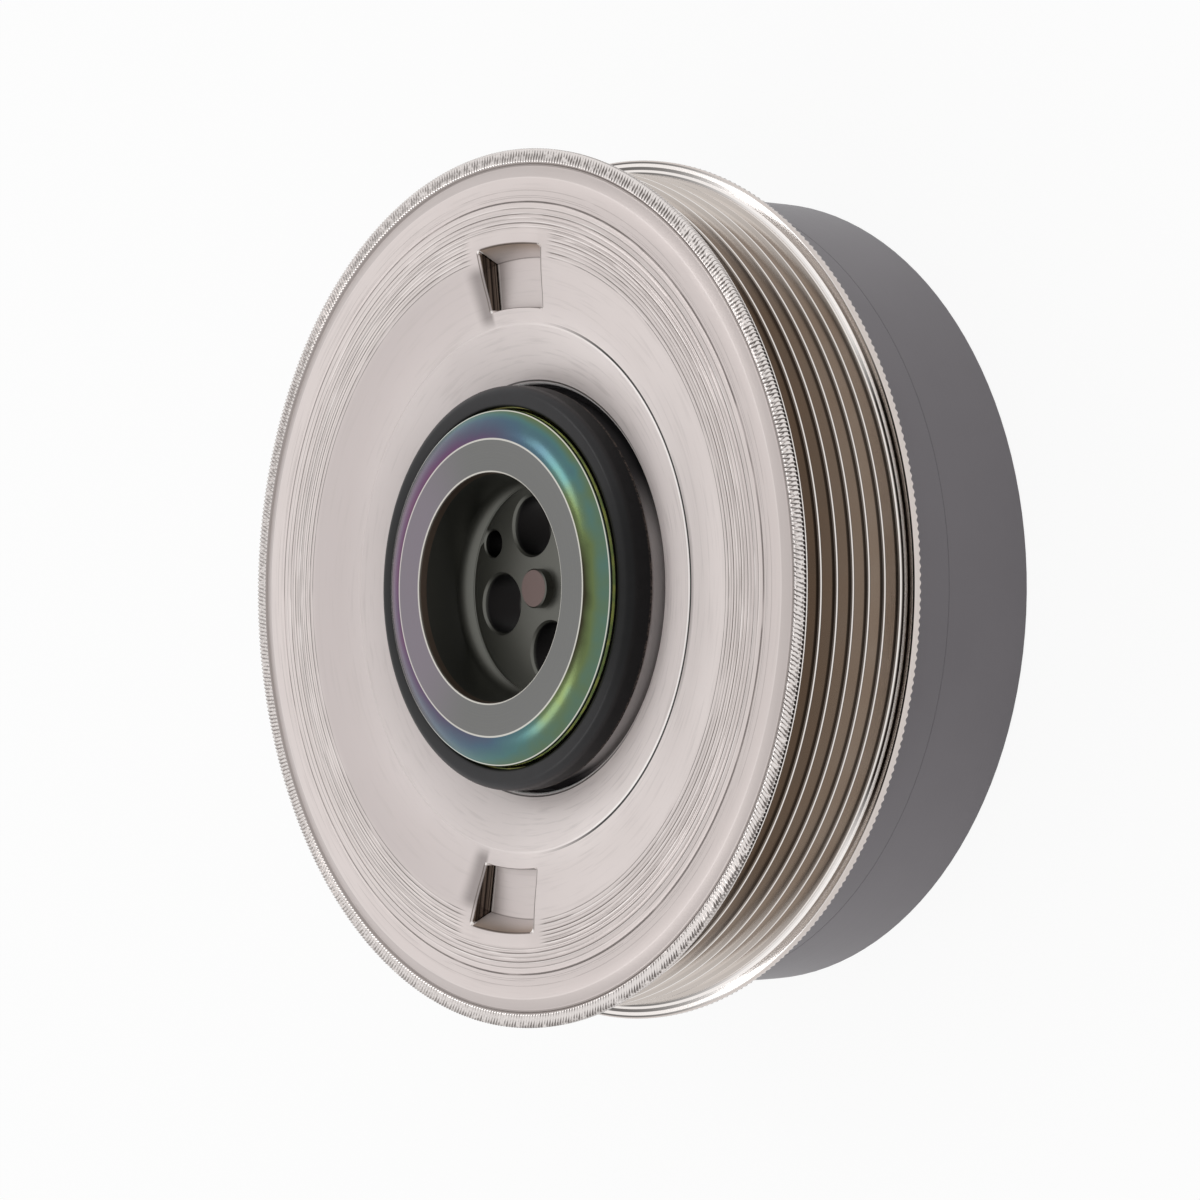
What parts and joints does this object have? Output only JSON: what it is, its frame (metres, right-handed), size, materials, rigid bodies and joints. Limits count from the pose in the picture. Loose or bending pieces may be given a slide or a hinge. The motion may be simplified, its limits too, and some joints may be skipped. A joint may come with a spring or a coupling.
{
  "type": "harmonic balancer",
  "caption": "Crankshaft harmonic balancer with a grooved belt pulley on a rubber decoupler, a bolted hub nose and an inertia ring behind.",
  "frame": {"origin": "centre of the inertia ring's flat back face, on the axis of rotation; the part stands on that face", "axes": "+Z along the axis of rotation towards the hub nose; +Y towards the upper pocket in the pulley face; +X to the right of the face as seen from the front"},
  "size_m": [0.1536, 0.1536, 0.0611],
  "materials": {
    "hub": "turned steel with a rainbow zinc passivate, nose face machined bright",
    "carrier": "pressed sheet with a yellow-green zinc passivate",
    "decoupler_rubber": "satin black moulded rubber",
    "decoupler_ring": "plain pressed sheet steel",
    "bearing_bush": "natural coloured bearing plastic",
    "pulley": "satin plated sheet steel",
    "damper_rubber": "matt black rubber",
    "inertia_ring": "satin black coat over turned cast iron"
  },
  "bodies": {
    "hub_side": {"hub": "hub", "carrier": "carrier", "decoupler_rubber": "decoupler_rubber", "bearing_bush": "bearing_bush", "damper_rubber": "damper_rubber", "inertia_ring": "inertia_ring"},
    "pulley_side": {"pulley": "pulley", "decoupler_ring": "decoupler_ring"}
  },
  "joints": [
    {"name": "pulley_twist", "type": "hinge", "parent": "hub_side", "child": "pulley_side", "pos_m": [0, 0, 0.044], "axis": [0, 0, 1], "range_deg": [-12, 12], "stiffness_Nm_per_rad": 95}
  ]
}
